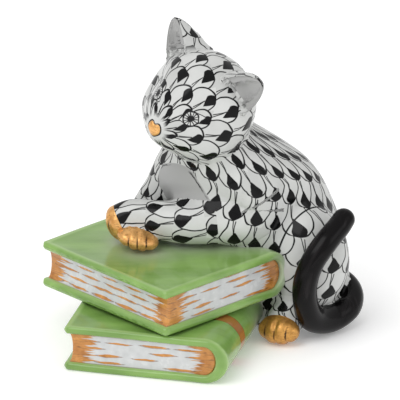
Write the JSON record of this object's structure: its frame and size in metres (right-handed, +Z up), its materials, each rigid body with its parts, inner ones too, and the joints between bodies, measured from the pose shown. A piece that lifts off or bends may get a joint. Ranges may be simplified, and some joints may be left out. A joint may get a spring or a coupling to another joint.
{
  "type": "porcelain cat figurine",
  "caption": "Seated kitten resting its crossed forelegs on a stack of closed books, hand-painted porcelain with a black scale pattern, green covers, gilt paws and a black tail.",
  "frame": {"origin": "centre of the footprint's box, on the surface that the figurine stands on", "axes": "+Z up; the ornament is looked at from -Y, and +X is to the viewer's right, where the cat sits; the books are on the left"},
  "size_m": [0.0686, 0.0556, 0.0676],
  "materials": {
    "scale_painted_body": "white porcelain painted with black fish-scale lines and drops under a glossy clear glaze",
    "gilding": "fired gilding over glazed porcelain, glossy, with fine dark toe lines",
    "black_tail": "plain black enamel under a glossy glaze",
    "green_covers": "brushed green enamel on porcelain, glossy, with a gilt band on the lower spine",
    "book_pages": "white porcelain with brushed gilt page streaks and gilt corners, glossy"
  },
  "bodies": {
    "root": {"torso": "scale_painted_body", "head": "scale_painted_body", "ear_left": "scale_painted_body", "ear_right": "scale_painted_body", "foreleg_left": "scale_painted_body", "foreleg_right": "scale_painted_body", "hind_leg_left": "scale_painted_body", "hind_leg_right": "scale_painted_body", "nose": "gilding", "forepaw_left": "gilding", "forepaw_right": "gilding", "hind_paw_left": "gilding", "hind_paw_right": "gilding", "tail": "black_tail", "upper_book_cover": "green_covers", "lower_book_cover": "green_covers", "upper_book_pages": "book_pages", "lower_book_pages": "book_pages"}
  },
  "joints": []
}
